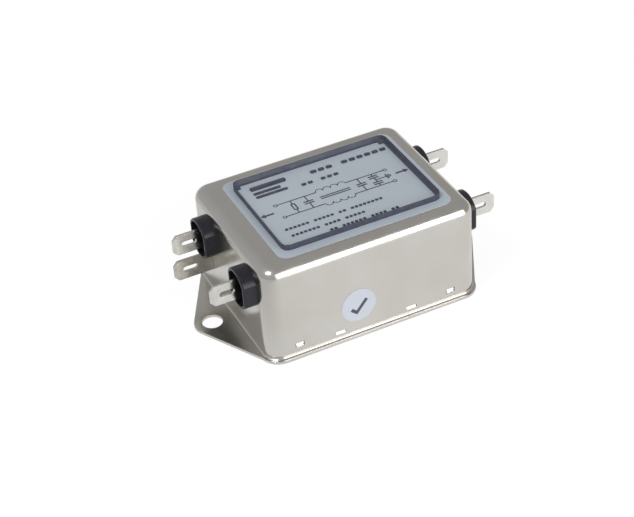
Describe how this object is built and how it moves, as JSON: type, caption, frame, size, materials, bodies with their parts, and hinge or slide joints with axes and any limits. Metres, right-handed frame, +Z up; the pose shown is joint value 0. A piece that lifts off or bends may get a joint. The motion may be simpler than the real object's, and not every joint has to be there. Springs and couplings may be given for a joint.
{
  "type": "emi line filter",
  "caption": "Boxed mains line filter in a drawn steel can with ears for screws, blade terminals in insulating collars at both ends, and a choke and capacitors inside.",
  "frame": {"origin": "on the underside, midway between the two mounting holes", "axes": "+X from the line end to the load end, +Y away from the wall with the round sticker, +Z up through the roof"},
  "size_m": [0.0884, 0.052, 0.0304],
  "materials": {
    "nickel_steel": "satin nickel plate on drawn steel",
    "plate_steel": "zinc plate on steel sheet",
    "label_film": "matt printed film",
    "sticker_film": "matt film, bare",
    "black_plastic": "glossy moulded black",
    "tinned_brass": "tin plate on brass",
    "tinned_steel": "tin plate on steel",
    "pressboard": "plain",
    "frame_plastic": "moulded",
    "board_laminate": "laminate",
    "ferrite": "coated",
    "nylon": "moulded",
    "enamelled_copper": "enamelled wire",
    "yellow_case": "moulded box",
    "blue_epoxy": "dipped epoxy",
    "resistor_lacquer": "lacquered",
    "red_insulation": "extruded",
    "blue_insulation": "extruded",
    "green_insulation": "extruded"
  },
  "bodies": {
    "root": {"case": "nickel_steel", "base_plate": "plate_steel", "rating_label": "label_film", "round_sticker": "sticker_film", "collar_line_near": "black_plastic", "collar_line_far": "black_plastic", "collar_load_near": "black_plastic", "collar_load_far": "black_plastic", "blade_line_near": "tinned_brass", "blade_line_far": "tinned_brass", "blade_load_near": "tinned_brass", "blade_load_far": "tinned_brass", "earth_blade": "tinned_steel", "insulating_sheet": "pressboard", "board_frame": "frame_plastic", "circuit_board": "board_laminate", "choke_core": "ferrite", "choke_divider": "nylon", "choke_winding_line": "enamelled_copper", "choke_winding_neutral": "enamelled_copper", "x_capacitor_line": "yellow_case", "x_capacitor_load": "yellow_case", "y_capacitor_line": "blue_epoxy", "y_capacitor_load": "blue_epoxy", "bleed_resistor": "resistor_lacquer", "lead_line_near": "red_insulation", "lead_line_far": "blue_insulation", "lead_load_near": "red_insulation", "lead_load_far": "blue_insulation", "lead_earth": "green_insulation"}
  },
  "joints": []
}
